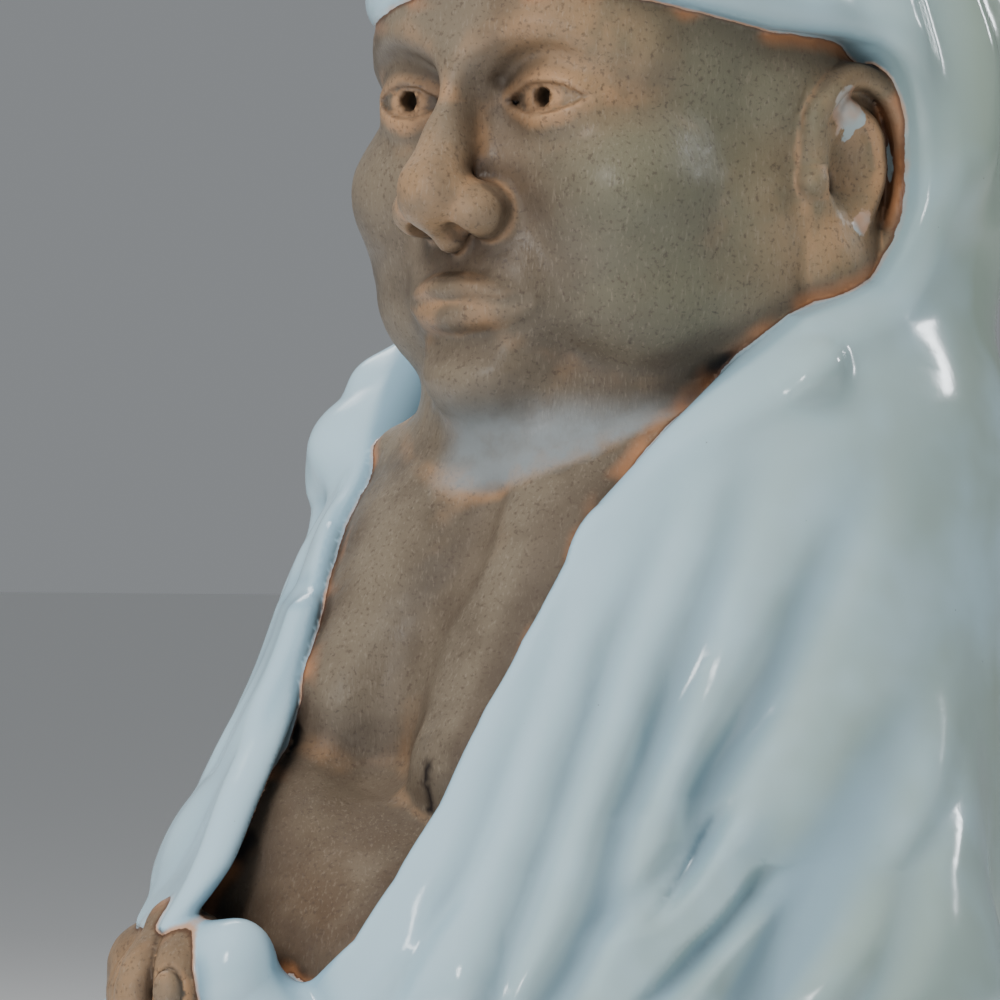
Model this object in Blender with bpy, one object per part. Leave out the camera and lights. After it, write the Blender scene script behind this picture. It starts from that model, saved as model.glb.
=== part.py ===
"""Seated daruma figure: one glazed and fired casting on a low oval plinth.

The figure faces -Y, and its left side is +X. It is carved as one closed form: rounded masses are
joined with soft seams, and hollows are carved out of them. The carving is laid out in shares of
the figure's height, in a frame of its own (x to the figure's left, f to its front, h above its
seat). The plinth, the cloth's thickness and the drilled pupils have real sizes of their own.
"""
import math

import bpy
import numpy as np

# Driving sizes, in metres
FIGURE_HEIGHT = 0.291
PLINTH_HEIGHT = 0.009
PLINTH_MARGIN = 0.009
PLINTH_EDGE_RADIUS = 0.003
CLOTH_THICKNESS = 0.0036
PUPIL_DIAMETER = 0.0034
PUPIL_DEPTH = 0.0050

# The figure's height in shares; every number in the carving below counts these shares
SHARES = 290
SHARE = FIGURE_HEIGHT / SHARES

# How finely the form is read, and how many triangles are kept
CELL = 1.25
COARSE_STEPS = 4
TRIANGLES = 8600

# Masses that other forms line up with: (x, f, h), and radii
CHIN_HEIGHT = 173
BODY_AXIS = -10
FOLD_AXIS = 10
HIP = (34, -18, 36)
HIP_RADIUS = 37
KNEE = (80, 44, 28)
KNEE_RADIUS = 29
ANKLE = (14, 84, 24)
ANKLE_RADIUS = 23
CAPE = (0, -18, 150)
CAPE_RADII = (63, 55, 80)
HOOD_TOP_RADIUS = 49
EYE = (14.8, 31.0, 55.2)
EYE_RADIUS = 8.7
LID_RADIUS = 10.2
THUMB_TIP = (-7.2, 107, 77)
BACK_FOLDS = 16
LAP_FOLDS = 21
HOOD_FOLDS = 21

# The neck opening: half width to the figure's left and right at each height
OPENING_HEIGHT = (60, 66, 73, 78, 88, 98, 110, 123, 137, 150, 160, 172, 190)
OPENING_LEFT = (-6, -5, -3, 4, 14.5, 19.3, 22.5, 24, 23.8, 26, 26, 28.5, 33)
OPENING_RIGHT = (-6, 0, 12, 18, 21, 21, 21.5, 22.5, 23.5, 27, 30, 34.5, 38)

# The face opening: height of the hood's edge above it and of the collar below it, back to front
HOOD_EDGE_FRONT = (-40, -24, -10, 8, 24, 38, 60)
HOOD_EDGE_HEIGHT = (229, 232, 238.5, 240, 243.5, 246.5, 248)
COLLAR_FRONT = (-40, -24, -10, 5, 25, 40)
COLLAR_HEIGHT = (206, 204, 194, 188, 172, 160)
HOOD_BACK = -18.5

# Valleys between the robe's long folds: width, then height, degrees from the front, depth
VALLEYS = (
    (3.4, ((60, 11, 0), (72, 14, 0.8), (86, 20, 1.3), (101, 25, 1.4), (119, 29, 1.1), (140, 35, 0.4),
           (156, 39, 0))),
    (3.8, ((50, 24, 0), (66, 26.5, 1.4), (79, 29, 2.2), (98, 33.3, 2.2), (118, 38.5, 1.9), (136, 45, 1.4),
           (153, 54.8, 0.8), (172, 68, 0))),
    (4.4, ((50, 29, 0), (62, 31, 1.8), (75, 35, 3), (92, 41.4, 3.2), (108, 45.4, 3), (128, 55.6, 2.4),
           (146, 64, 1.9), (164, 75.3, 0.8), (176, 81, 0))),
    (4.8, ((88, 42, 0), (92, 45.5, 1.2), (98, 51, 2.2), (104, 56.8, 2.8), (111, 60, 3.2), (124, 69.3, 2.9),
           (142, 79, 2.3), (158, 90, 1.1), (172, 97, 0))),
    (2.7, ((64, 35, 0), (70, 40, 2), (75, 45.2, 3.2), (80, 50, 3.4), (87, 56, 3.3), (95, 64.6, 1.8),
           (100, 69, 0))),
    (1.8, ((89, 47, 0), (95, 52, 1.4), (101, 57, 1.8), (107, 62, 1.2), (112, 66, 0))),
    (7.4, ((46, 44, 0), (60, 51, 3.4), (75, 60, 4.4), (88, 68, 4.4), (101, 76, 3.4), (118, 85, 2.2),
           (130, 93, 0.8), (140, 99, 0))),
    (4.6, ((46, 58, 0), (60, 66, 1.6), (75, 73.6, 2.2), (99, 84, 1.9), (111, 94, 0.9), (124, 103, 0))),
)

# The lapel held taut from the chest to the right hand: its free edge, where it springs from the
# sleeve, and half its thickness at each height
TAUT_EDGE = ((-11.4, 103.5, 89.5), (-10.6, 94.5, 99.5), (-14.5, 83, 111), (-22.4, 64.5, 126), (-26, 52, 146))
TAUT_ROOT = ((-28, 90, 89.5), (-35, 79, 99.5), (-38, 66, 111), (-38, 52, 126), (-38, 40, 146))
TAUT_HEIGHT = (88, 92, 100, 112, 126, 144)
TAUT_THICKNESS = (1.5, 1.8, 2.4, 2.6, 2.6, 1.8)

CORNERS = np.array([(i & 1, i >> 1 & 1, i >> 2 & 1) for i in range(8)])
CORNER_BITS = 1 << np.arange(8)
CELL_EDGES = [(a, a | 1 << axis) for axis in range(3) for a in range(8) if not a & 1 << axis]


def join(a, b, soft):
    """Union of two distances, with a seam about soft wide."""
    blend = np.maximum(soft - np.abs(a - b), 0) / soft
    return np.minimum(a, b) - blend * blend * soft / 4


def overlap(a, b, soft):
    return -join(-a, -b, soft)


def carve(body, hollow, soft):
    return -join(-body, hollow, soft)


def mirrored(q):
    return [np.abs(q[0]), q[1], q[2]]


def egg(q, centre, radii):
    """Distance to an ellipsoid, close to true near its surface."""
    u = [(q[i] - centre[i]) / radii[i] for i in range(3)]
    near_one = np.sqrt(u[0]**2 + u[1]**2 + u[2]**2)
    slope = np.sqrt((u[0] / radii[0])**2 + (u[1] / radii[1])**2 + (u[2] / radii[2])**2)
    return near_one * (near_one - 1) / np.maximum(slope, 1e-6)


def ball(q, centre, radius):
    return np.sqrt(sum((q[i] - centre[i])**2 for i in range(3))) - radius


def limb(q, start, end, start_radius, end_radius):
    """Distance to a round bar between two points, tapering along its length."""
    line = [end[i] - start[i] for i in range(3)]
    offset = [q[i] - start[i] for i in range(3)]
    along = np.clip(sum(offset[i] * line[i] for i in range(3)) / sum(c * c for c in line), 0, 1)
    away = np.sqrt(sum((offset[i] - along * line[i])**2 for i in range(3)))
    return away - (start_radius + (end_radius - start_radius) * along)


def smooth_path(points, steps):
    """Catmull-Rom curve through the points."""
    p = np.array(points, float)
    p = np.vstack([2 * p[0] - p[1], p, 2 * p[-1] - p[-2]])
    path = []
    for a, b, c, d in zip(p, p[1:], p[2:], p[3:]):
        for t in np.arange(steps) / steps:
            bend = (c - a) * t + (2 * a - 5 * b + 4 * c - d) * t**2 + (3 * b - a - 3 * c + d) * t**3
            path.append(b + bend / 2)
    path.append(p[-2])
    return path


def cord(q, points, first_radius, last_radius, steps=4):
    """Distance to a round bar along a smooth curve through the points."""
    path = smooth_path(points, steps)
    radii = np.linspace(first_radius, last_radius, len(path))
    distance = limb(q, path[0], path[1], radii[0], radii[1])
    for i in range(1, len(path) - 1):
        distance = np.minimum(distance, limb(q, path[i], path[i + 1], radii[i], radii[i + 1]))
    return distance


def near(q, d, centre, reach, shape):
    """Applies shape(q, d) to the points within reach of centre and leaves the others."""
    inside = sum((q[i] - centre[i])**2 for i in range(3)) < reach * reach
    if inside.any():
        d = d.copy()
        d[inside] = shape([c[inside] for c in q], d[inside])
    return d


def ridges(phase, sharpness):
    """1 on a crest and 0 in a valley, with a crest at each whole number of phase."""
    return (0.5 + 0.5 * np.cos(2 * np.pi * phase))**sharpness


def ramp(value, start, end):
    t = np.clip((value - start) / (end - start), 0, 1)
    return t * t * (3 - 2 * t)


def turn_about(q, axis):
    """Angle round an upright line at front axis, 0 straight ahead."""
    return np.arctan2(q[0], q[1] - axis)


def eye(q, d):
    """Socket, lids, ball and drilled pupil of the left eye."""
    x, f, h = EYE
    pupil = PUPIL_DIAMETER / 2 / SHARE
    drilled = f + EYE_RADIUS - PUPIL_DEPTH / SHARE + pupil
    d = carve(d, egg(q, (x, f + 13.5, h + 0.5), (11, 7, 7.8)), 6)
    d = join(d, ball(q, (x, f, h - 0.3), LID_RADIUS), 3)
    across = q[0] - x
    bow = np.maximum(1 - (across / 6.9)**2, -1)
    upper_line = h + 0.2 + 2.3 * bow + 0.05 * across
    lower_line = h - 0.8 - 2.1 * bow + 0.02 * across
    crease = [(x - 8.5, f + 8.6, h + 3), (x - 4, f + 10.2, h + 5.6), (x + 1, f + 10.6, h + 6.8),
              (x + 6, f + 8.6, h + 5.6), (x + 10.5, f + 5.6, h + 2.6)]
    d = carve(d, cord(q, crease, 0.7, 0.7), 2.6)
    opening = overlap(q[2] - upper_line, lower_line - q[2], 0.6)
    opening = np.maximum(opening, f + 2.5 - q[1])
    d = carve(d, opening, 1.3)
    d = join(d, egg(q, EYE, (EYE_RADIUS + 1.2, EYE_RADIUS, EYE_RADIUS + 0.3)), 0.8)
    return carve(d, limb(q, (x, drilled, h), (x, f + 14, h), pupil, pupil), 0.5)


def nose(q, d):
    d = join(d, limb(q, (0, 39.6, 62), (0, 49.8, 41.5), 3.8, 4.8), 6)
    d = join(d, ball(q, (0, 50.4, 38.4), 5.6), 4)
    d = join(d, egg(q, (6.6, 45.4, 36.2), (4.2, 6, 4.6)), 3.2)
    d = join(d, limb(q, (0, 50.4, 35.6), (0, 46, 31.5), 2.2, 2.4), 2.5)
    d = carve(d, egg(q, (4, 48.4, 32.2), (1.9, 3.2, 2)), 1.2)
    return carve(d, cord(q, [(9.4, 45.4, 41.2), (11.8, 42.4, 37), (11, 43, 32)], 0.6, 0.6), 2.8)


def mouth(q, d):
    upper_lip = [(-1, 44.8, 22.6), (3.2, 45, 23.2), (8, 42.6, 22.2), (12.4, 39.4, 20.9)]
    lower_lip = [(-1, 44.4, 17.8), (4, 43.9, 17.9), (8.6, 41.4, 18.9), (12, 39, 20.1)]
    parting = [(-1, 48, 20.7), (3.6, 47.6, 21), (8.4, 44.8, 20.7), (13.4, 41.2, 20.7)]
    cheek_fold = [(11.4, 44.4, 37.5), (15.6, 41.2, 29.5), (19.2, 39, 20.5)]
    d = join(d, egg(q, (0, 32.5, 22.5), (16, 12.2, 12.5)), 6)
    d = carve(d, limb(q, (0, 47.9, 30), (0, 48.1, 25.6), 1, 1.2), 2.6)
    d = join(d, cord(q, upper_lip, 2.5, 1), 2.2)
    d = join(d, cord(q, lower_lip, 3.1, 1), 2)
    d = carve(d, cord(q, parting, 0.9, 0.5), 1.2)
    d = carve(d, limb(q, (0, 47.6, 13.2), (6, 46.2, 13.6), 1.2, 1), 6)
    return carve(d, cord(q, cheek_fold, 0.6, 0.6), 5)


def ear(q, d):
    """The long-lobed left ear."""
    rim = [(41.6, -1, 45.5), (42.6, -0.4, 53), (43.6, -7.5, 59.4), (45.2, -16, 57),
           (46.2, -20.5, 47.5), (45.6, -19.4, 35.5), (44.2, -15, 25.5)]
    inner_fold = [(43.6, -7, 54), (44.6, -13, 50.5), (44.6, -14.4, 42.5), (43.6, -11, 34.2)]
    d = join(d, egg(q, (41, -9.5, 42), (3.8, 11.2, 19.5)), 3)
    d = join(d, egg(q, (41.8, -8.5, 26.5), (4.4, 9, 8.6)), 3)
    d = join(d, cord(q, rim, 2.2, 2.6), 1.4)
    d = carve(d, egg(q, (46, -6.6, 43.2), (4.2, 5, 8)), 1.6)
    d = join(d, cord(q, inner_fold, 1.5, 1.5), 1.4)
    d = join(d, ball(q, (42.2, 0.2, 41.2), 2.6), 1.8)
    return carve(d, limb(q, (40, -3.4, 41.5), (46, -4.4, 41.5), 1.4, 2), 1.4)


def head(q):
    """The bald head, in its own frame: h counts up from the chin, and the ears lie at f 0."""
    m = mirrored(q)
    brow = [(-5, 40.4, 61), (4, 40.4, 61.4), (11, 40.4, 64.2), (19, 36.6, 65.4), (27, 28, 62.5)]
    d = egg(q, (0, -3, 69), (38.5, 46, 42.5))
    d = join(d, egg(q, (0, 10, 78), (31, 33, 27)), 8)
    d = join(d, egg(q, (0, 10, 37), (32.5, 31.5, 37)), 12)
    d = join(d, egg(m, (20, 16, 23), (14.5, 18, 15.5)), 10)
    d = join(d, egg(m, (21.5, 25.5, 40), (13.5, 13.5, 12)), 8)
    d = join(d, egg(q, (0, 34.8, 9), (12, 11.5, 9)), 6)
    d = join(d, egg(q, (0, 14, 2), (22, 22, 9)), 8)
    d = join(d, egg(m, (32, -2, 27), (9.6, 15, 27)), 9)
    d = join(d, egg(m, (35, -4, 58), (7, 12, 12)), 5)
    d = join(d, cord(m, brow, 3.6, 2.2), 9)
    d = near(m, d, (0, 40, 40), 52, mouth)
    d = near(m, d, (0, 44, 45), 34, nose)
    d = near(m, d, EYE, 26, eye)
    return near(m, d, (42, -8, 40), 36, ear)


def chest_and_belly(q):
    d = join(limb(q, (0, 2, 190), (0, 5, 150), 29.5, 34), egg(q, (0, -10, 92), (48, 44, 92)), 6)
    d = join(d, egg(q, (0, 9, 128), (57, 43, 50)), 14)
    d = join(d, limb(q, (14, 29, 147), (17.5, 51, 112), 13.5, 15.5), 7)
    d = join(d, limb(q, (-14, 29, 147), (-17, 49.5, 124), 13.5, 15), 7)
    d = join(d, egg([q[0], q[1], q[2] + 0.27 * q[0]], (0, 36, 78.5), (54, 52, 38)), 3)
    d = join(d, limb(mirrored(q), (7, 30, 161), (32, 22, 169), 2.2, 3), 7)
    d = carve(d, cord(q, [(2, 44, 160), (0, 61, 138), (0.5, 67, 117)], 1.8, 3.2), 8)
    neck_crease = [(-27, 20, 171), (-12, 34, 163.5), (2, 37, 161.5), (14, 33, 165), (27, 20, 171)]
    return carve(d, cord(q, neck_crease, 0.5, 0.5), 3.4)


def right_hand(q, d):
    """Four curled fingers, from the index finger outward, and the thumb beside them."""
    for i in range(4):
        knuckle = (-15.5 - 6.8 * i, 97.5 - 6.2 * i, 89.5 - 1.9 * i - 0.5 * i * i)
        middle = (-16.2 - 7 * i, 106 - 6.9 * i, 79.5 - 0.8 * i)
        last = (-15 - 6.9 * i, 103.5 - 6.6 * i, 67.5 + 0.7 * i)
        tip = (-13 - 6.6 * i, 97 - 5.8 * i, 63.5 + 1.2 * i)
        thickness = 4.5 - 0.3 * abs(i - 0.8)
        finger = cord(q, [knuckle, middle, last, tip], thickness + 0.2, thickness - 0.4, 3)
        d = join(d, finger, 0.8)
        d = join(d, ball(q, knuckle, thickness + 0.5), 2)
    d = join(d, egg(q, (-25, 85, 82), (15, 10, 9.5)), 3)
    thumb = [(-18, 88, 86), (-11, 98, 87.5), (-8.4, 104.6, 83.5), THUMB_TIP]
    return join(d, cord(q, thumb, 5, 3.9, 3), 0.8)


def skin(q):
    """Everything bare: head, neck, chest, belly and hand."""
    head_frame = [q[0], q[1], q[2] - CHIN_HEIGHT]
    d = chest_and_belly(q)
    close = q[0]**2 + q[1]**2 + (head_frame[2] - 50)**2 < 95**2
    rough_head = egg(head_frame, (0, 0, 55), (50, 60, 60))
    joined = np.minimum(d, rough_head)
    if close.any():
        joined[close] = join(d[close], head([c[close] for c in head_frame]), 5)
    return near(q, joined, (-22, 98, 82), 44, right_hand)


def shoulders_and_sleeves(q):
    m = mirrored(q)
    d = egg(q, (0, -8, 98), (66, 60, 96))
    d = join(d, egg(q, CAPE, CAPE_RADII), 12)
    d = join(d, limb(m, (34, -4, 158), (60, 12, 78), 25, 25), 10)
    return join(d, limb(m, (60, 12, 78), (30, 74, 80), 23, 13), 8)


def drape_over_chest(q):
    """Cloth a named thickness over a chest whose hollows it bridges."""
    m = mirrored(q)
    d = join(limb(q, (0, 2, 190), (0, 5, 150), 29.5, 34), egg(q, (0, 9, 128), (57, 43, 50)), 14)
    d = join(d, limb(m, (14, 29, 147), (18, 49.5, 116), 13.5, 15), 12)
    d = join(d, egg(q, (0, 36, 74), (57, 52.5, 59)), 14)
    return d - CLOTH_THICKNESS / SHARE


def long_folds(q):
    """Height of the soft folds between the valleys that run from the shoulders to the hand."""
    side = np.degrees(np.abs(turn_about(q, FOLD_AXIS)))
    side = side + np.where(q[0] < 0, 2 * np.sin(q[2] / 17), 0)
    around = np.hypot(q[0], q[1] - FOLD_AXIS) * math.pi / 180
    height = 0
    for width, path in VALLEYS:
        heights, turns, depths = zip(*path)
        away = (side - np.interp(q[2], heights, turns)) * around
        depth = np.interp(q[2], heights, depths, left=0, right=0)
        slant = 1.1 * (turns[-1] - turns[0]) / (heights[-1] - heights[0])
        across = away / (0.92 * width * math.hypot(1, slant))
        height = height - 1.25 * depth * (np.exp(-across**2) - 0.34 * np.exp(-(across / 2.1)**2))
    return height


def back_folds(q):
    turn = turn_about(q, BODY_AXIS)
    phase = BACK_FOLDS * turn / (2 * np.pi) + 0.3 * np.sin(2 * turn + 0.8)
    phase = phase + 0.22 * np.sin(q[2] / 27 + turn)
    reach = ramp(np.abs(turn), 1.6, 2.2) * (1 - 0.6 * ramp(q[2], 150, 200))
    depth = 0.75 + 0.35 * np.sin(3 * turn + q[2] / 40)
    return 2.6 * reach * depth * (ridges(phase, 1.1) - 0.45)


def leg(q):
    """The left thigh and shin; the shin crosses to the middle."""
    thigh = limb(q, HIP, KNEE, HIP_RADIUS, KNEE_RADIUS)
    return join(thigh, limb(q, KNEE, ANKLE, KNEE_RADIUS - 2, ANKLE_RADIUS), 12)


def lap(q):
    """Crossed legs under the robe, with folds that hang from the hands and over the knees."""
    d = join(leg(q), leg([-q[0], q[1], q[2]]), 12)
    d = join(d, egg(q, (0, 24, 20), (90, 70, 34)), 12)
    from_hands = np.sqrt((q[0] * 0.62)**2 + ((q[1] - 96) * 0.8)**2 + (q[2] - 74)**2)
    reach = ramp(from_hands, 8, 25) * (1 - ramp(from_hands, 62, 90)) * ramp(q[1], 20, 60)
    d = d - 2.6 * reach * (ridges(from_hands / 15, 1.2) - 0.4)
    turn = turn_about(q, FOLD_AXIS)
    phase = LAP_FOLDS * turn / (2 * np.pi) + 0.35 * np.sin(3 * turn + 2) + 0.25 * np.sin(q[2] / 12)
    reach = (1 - ramp(q[1], 40, 75)) * (1 - ramp(q[2], 30, 60))
    return d - 2.2 * reach * (ridges(phase, 1.2) - 0.4)


def hood(q):
    top = CHIN_HEIGHT + 68
    d = egg(q, (0, -5, top), (43.5, 51.5, HOOD_TOP_RADIUS))
    d = join(d, egg(q, (0, -29, 222), (56, 45, 60)), 14)
    turn = turn_about(q, BODY_AXIS)
    phase = HOOD_FOLDS * turn / (2 * np.pi) + 0.35 * np.sin(2 * turn + 1)
    phase = phase + 0.2 * np.sin(q[2] / 16 + turn)
    reach = ramp(q[2], 206, 222) * (1 - ramp(q[2], 246, 280)) * ramp(np.abs(turn), 1.15, 1.7)
    depth = 0.8 + 0.3 * np.sin(4 * turn)
    return d - 3.2 * reach * depth * (ridges(phase, 1) - 0.45)


def openings(q):
    """The face opening of the hood and the long opening down the chest, as one hollow."""
    hood_edge = np.interp(q[1], HOOD_EDGE_FRONT, HOOD_EDGE_HEIGHT)
    hood_edge = hood_edge - 5 * np.exp(-((q[0] + 23) / 12)**2) * ramp(q[1], 14, 30)
    collar = np.interp(q[1], COLLAR_FRONT, COLLAR_HEIGHT) + 3.5 * ramp(q[0], 0, 20)
    face = overlap((q[2] - hood_edge) * 0.85, HOOD_BACK - q[1], 14)
    face = overlap(face, (collar - q[2]) * 0.8, 10)
    left = np.interp(q[2], OPENING_HEIGHT, OPENING_LEFT)
    right = np.interp(q[2], OPENING_HEIGHT, OPENING_RIGHT)
    front = np.where(q[0] > 0, q[0] - left, -q[0] - right) * 0.9
    front = overlap(front, -16 - q[1], 10)
    front = overlap(front, q[2] - 200, 4)
    return join(front, face, 8)


def shoulder_swell(q, d):
    """The cape's rounded shoulder on the figure's right, and the fold below it."""
    d = join(d, ball(q, (-44, 11.5, 166), 14), 5)
    return carve(d, cord(q, [(-46, 30, 160), (-57, 18, 158.5), (-60, 4, 161)], 0.8, 0.8), 3)


def taut_lapel(q, d):
    """Sheet of cloth between the lapel's edge and the sleeve, level by level."""
    edge = np.array(smooth_path(TAUT_EDGE, 6))
    root = np.array(smooth_path(TAUT_ROOT, 6))
    x, f = [np.interp(q[2], edge[:, 2], edge[:, i]) for i in (0, 1)]
    line = [np.interp(q[2], root[:, 2], root[:, i]) - c for i, c in ((0, x), (1, f))]
    offset = [q[0] - x, q[1] - f]
    along = (offset[0] * line[0] + offset[1] * line[1]) / (line[0]**2 + line[1]**2)
    along = np.clip(along, 0, 1)
    away = np.hypot(offset[0] - along * line[0], offset[1] - along * line[1])
    thickness = np.interp(q[2], TAUT_HEIGHT, TAUT_THICKNESS)
    sheet = 0.72 * away - thickness * (1 + 0.3 * along)
    return join(d, overlap(sheet, np.abs(q[2] - 116) - 28, 3), 3)


def gathered_cloth(q, d):
    """The lap of cloth that the hand holds up."""
    tongue = limb(q, (1, 86, 62), (-3, 98, 80), 15, 8)
    tongue = join(tongue, limb(q, (-6, 99, 85), (-1.5, 98.5, 85.5), 6, 6), 4)
    return join(d, tongue, 4)


def robe(q):
    m = mirrored(q)
    d = join(shoulders_and_sleeves(q), drape_over_chest(q), 5)
    d = near(q, d, (-44, 12, 164), 30, shoulder_swell)
    d = d - long_folds(q)
    d = d - back_folds(q)
    d = join(d, chest_and_belly(q) - 0.5 * CLOTH_THICKNESS / SHARE, 1)
    d = join(d, lap(q), 9)
    d = join(d, egg([m[0] * 0.9, q[1], q[2]], (42, 52, 58), (24, 34, 22)), 8)
    d = join(d, hood(q), 9)
    d = join(d, egg(m, (47.5, 8, 181.5), (6, 6, 6.4)), 3)
    d = carve(d, openings(q), 3)
    d = near(q, d, (-3, 94, 78), 46, gathered_cloth)
    d = near(q, d, (-24, 72, 116), 62, taut_lapel)
    return overlap(d, -q[2] - PLINTH_HEIGHT / SHARE / 2, 1)


def plinth_reach():
    """Half width, front and back of the plinth, in shares: the margin stands out past the lap."""
    margin = PLINTH_MARGIN / SHARE
    half_width = KNEE[0] + KNEE_RADIUS + margin
    front = ANKLE[1] + ANKLE_RADIUS + margin
    back = CAPE[1] - CAPE_RADII[1] - margin
    return half_width, front, back


def plinth(q):
    """A low oval slab with a rounded upper edge."""
    half_width, front, back = plinth_reach()
    half_depth = (front - back) / 2
    squareness = 2.4
    across = (np.abs(q[0]) / half_width)**squareness
    along = (np.abs(q[1] - (front + back) / 2) / half_depth)**squareness
    side = ((across + along)**(1 / squareness) - 1) * half_depth
    slab = overlap(side, q[2], PLINTH_EDGE_RADIUS / SHARE)
    return overlap(slab, -q[2] - PLINTH_HEIGHT / SHARE, 0.4)


def figure(points):
    """Distance from each point (x, f, h) to the casting's surface, negative inside."""
    q = [points[:, i].astype(np.float32) for i in range(3)]
    return join(join(skin(q), robe(q), 0.8), plinth(q), 0.8)


def parts_of(corners):
    """How many separate groups the cell corners form along the cell's edges."""
    left = set(corners)
    groups = 0
    while left:
        groups += 1
        reached = [left.pop()]
        while reached:
            corner = reached.pop()
            beside = {corner ^ 1 << axis for axis in range(3)} & left
            left -= beside
            reached += beside
    return groups


def pinched_cells():
    """For each of the 256 ways a cell's corners lie inside or out, whether its surface pinches."""
    sides = [[c for c in range(8) if c >> axis & 1 == end] for axis in range(3) for end in (0, 1)]
    pinched = np.zeros(256, bool)
    for code in range(256):
        inside = [c for c in range(8) if code >> c & 1]
        outside = [c for c in range(8) if not code >> c & 1]
        pinched[code] = parts_of(inside) > 1 or parts_of(outside) > 1
        for side in sides:
            a, b, c, d = [corner in inside for corner in side]
            if a == d and b == c and a != b:
                pinched[code] = True
    return pinched


def cell_keys(cells):
    cells = cells.astype(np.int64)
    return (cells[..., 0] << 42) | (cells[..., 1] << 21) | cells[..., 2]


def cells_near_surface(low, high):
    """Cells that the surface may cross, found by halving larger cells that lie close to it."""
    count = np.ceil((high - low) / (CELL * 2**COARSE_STEPS)).astype(int) + 1
    cells = np.indices(count).reshape(3, -1).T
    for step in range(COARSE_STEPS, 0, -1):
        size = CELL * 2**step
        close = np.abs(figure(low + (cells + 0.5) * size)) < size * 1.5
        cells = (cells[close][:, None] * 2 + CORNERS).reshape(-1, 3)
    return cells


def fill_pinches(values, corners):
    """Moves the surface past single corners until no cell pinches it."""
    pinched = pinched_cells()
    while True:
        found = corners[pinched[(values[corners] < 0) @ CORNER_BITS]]
        if not len(found):
            return values
        outside = np.where(values[found] < 0, np.inf, values[found])
        nearest = found[np.arange(len(found)), outside.argmin(1)]
        values[nearest] = -0.02 * CELL


def surface_net(low, high):
    """Vertices and quads of the figure's surface: a vertex in each crossed cell."""
    low = low - CELL
    cells = cells_near_surface(low + CELL, high) + 1
    keys, corners = np.unique(cell_keys(cells[:, None] + CORNERS), return_inverse=True)
    corners = corners.reshape(-1, 8)
    grid = np.stack([keys >> 42, keys >> 21 & 0x1FFFFF, keys & 0x1FFFFF], 1)
    values = fill_pinches(figure(low + grid * CELL), corners)[corners]
    inside = values < 0
    crossed = inside.any(1) & ~inside.all(1)
    cells, values, inside = cells[crossed], values[crossed], inside[crossed]
    total = np.zeros((len(cells), 3))
    crossings = np.zeros(len(cells))
    for a, b in CELL_EDGES:
        crosses = inside[:, a] != inside[:, b]
        share = values[:, a] / np.where(crosses, values[:, a] - values[:, b], 1)
        total += crosses[:, None] * (CORNERS[a] + share[:, None] * (CORNERS[b] - CORNERS[a]))
        crossings += crosses
    vertices = low + (cells + total / crossings[:, None]) * CELL
    return vertices, net_quads(cells, inside)


def net_quads(cells, inside):
    """One outward quad round each cell edge that the surface crosses."""
    own = cell_keys(cells)
    order = np.argsort(own)
    quads = []
    for axis in range(3):
        crosses = inside[:, 0] != inside[:, 1 << axis]
        u, v = np.roll(np.eye(3, dtype=int), -1 - axis, 0)[:2]
        ring = [cells[crosses] - step for step in (0 * u, u, u + v, v)]
        quad = np.stack([order[np.searchsorted(own, cell_keys(c), sorter=order)] for c in ring], 1)
        outward = inside[crosses, 0]
        quads.append(np.where(outward[:, None], quad, quad[:, ::-1]))
    return np.concatenate(quads)


def outer_skin(vertices, quads):
    """The largest joined surface, without the small sealed voids left where masses meet."""
    group = np.arange(len(vertices))
    while (group[quads] != group[quads[:, :1]]).any():
        np.minimum.at(group, quads, group[quads].min(1)[:, None])
        group = group[group]
    kept = group == np.bincount(group).argmax()
    place = np.cumsum(kept) - 1
    return vertices[kept], place[quads[kept[quads[:, 0]]]]


def biscuit_and_glaze():
    material = bpy.data.materials.new("glazed_porcelain")
    material.use_nodes = True
    shader = material.node_tree.nodes["Principled BSDF"]
    shader.inputs["Base Color"].default_value = (0.55, 0.62, 0.64, 1)
    shader.inputs["Roughness"].default_value = 0.2
    shader.inputs["Metallic"].default_value = 0.0
    return material


def build_figure():
    half_width, front, back = plinth_reach()
    edge = 4 * CELL
    low = np.array([-half_width - edge, back - edge, -PLINTH_HEIGHT / SHARE - edge])
    high = np.array([half_width + edge, front + edge, SHARES + edge])
    vertices, quads = outer_skin(*surface_net(low, high))
    underside = -PLINTH_HEIGHT / SHARE
    flat = np.abs(vertices[:, 2] - underside) < 0.1
    vertices[flat, 2] = underside
    middle = (front + back) / 2
    x, f, h = vertices.T
    placed = np.stack([x * SHARE, (middle - f) * SHARE, h * SHARE + PLINTH_HEIGHT], 1)
    mesh = bpy.data.meshes.new("daruma_figure")
    mesh.from_pydata(placed, [], quads[:, ::-1])
    mesh.materials.append(biscuit_and_glaze())
    mesh.shade_smooth()
    figure_object = bpy.data.objects.new("daruma_figure", mesh)
    bpy.context.scene.collection.objects.link(figure_object)
    thin = figure_object.modifiers.new("thin", "DECIMATE")
    thin.ratio = TRIANGLES / (2 * len(quads))
    return figure_object


def main():
    for old in list(bpy.data.objects):
        bpy.data.objects.remove(old)
    build_figure()


if __name__ == "__main__":
    main()
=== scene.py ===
"""Finish of the seated daruma figure: the carving at full fineness, its glaze and bare biscuit.

The figure is one casting. Its form is laid out in shares of its height, in a frame of its own:
x to the figure's left, f to its front, h above its seat. Rounded masses are joined with soft
seams, hollows are carved out, and the surface is read on a fine grid, thinned and shaded.
"""
import math

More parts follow.
